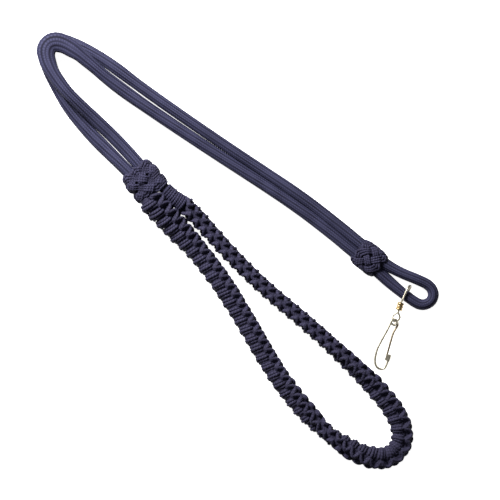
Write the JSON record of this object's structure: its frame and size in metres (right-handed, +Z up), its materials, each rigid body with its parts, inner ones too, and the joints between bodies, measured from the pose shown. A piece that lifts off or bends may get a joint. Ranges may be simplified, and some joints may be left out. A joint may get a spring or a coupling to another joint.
{
  "type": "shoulder lanyard",
  "caption": "Doubled round cord with woven knots, a knotted arm loop and a swivelling wire spring hook that hangs in the cord's eye.",
  "frame": {"origin": "the middle of the footprint, on the surface that the lanyard lies on", "axes": "+Z up from the surface; +Y along the lanyard's longer side as laid out, from the arm loop's end towards the bight; +X towards the eye and the hook"},
  "size_m": [0.2726, 0.2959, 0.021],
  "materials": {
    "smooth_cord": "braided, matt",
    "sennit_cord": "knotted, matt",
    "knot_cord": "woven knot, matt",
    "thread": "wound thread",
    "filler": "undyed cotton",
    "nickel_wire": "nickel plated",
    "barrel_brass": "worn plating"
  },
  "bodies": {
    "root": {"cord_sheath": "smooth_cord", "cord_filler": "filler", "cord_end_seizing": "thread", "large_turks_head": "knot_cord", "small_turks_head": "knot_cord", "arm_loop_core": "filler", "arm_loop_sennit": "sennit_cord", "loop_whipping": "thread"},
    "hanger": {"hanger_wire": "nickel_wire", "swivel_barrel": "barrel_brass"},
    "swivel": {"swivel_eye": "nickel_wire"},
    "hook": {"hook_frame": "nickel_wire", "nose_catch": "nickel_wire"},
    "gate": {"gate_wire": "nickel_wire"}
  },
  "joints": [
    {"name": "hanger_swing", "type": "hinge", "parent": "root", "child": "hanger", "pos_m": [0.1135, -0.0307, 0.006], "axis": [-0.8072, 0.5903, 0], "range_deg": [-140, 140]},
    {"name": "neck_swivel", "type": "hinge", "parent": "hanger", "child": "swivel", "pos_m": [0.1104, -0.0378, 0.0044], "axis": [0.2892, 0.9543, 0.0758], "continuous": true},
    {"name": "hook_swing", "type": "hinge", "parent": "swivel", "child": "hook", "pos_m": [0.10658, -0.04868, 0.00352], "axis": [-0.022, -0.0726, 0.9971], "range_deg": [-35, 35]},
    {"name": "gate_flex", "type": "hinge", "parent": "hook", "child": "gate", "pos_m": [0.10645, -0.04911, 0.00349], "axis": [0.022, 0.0726, -0.9971], "range_deg": [0, 10], "stiffness_Nm_per_rad": 0.3, "springref_deg": -14.32}
  ]
}
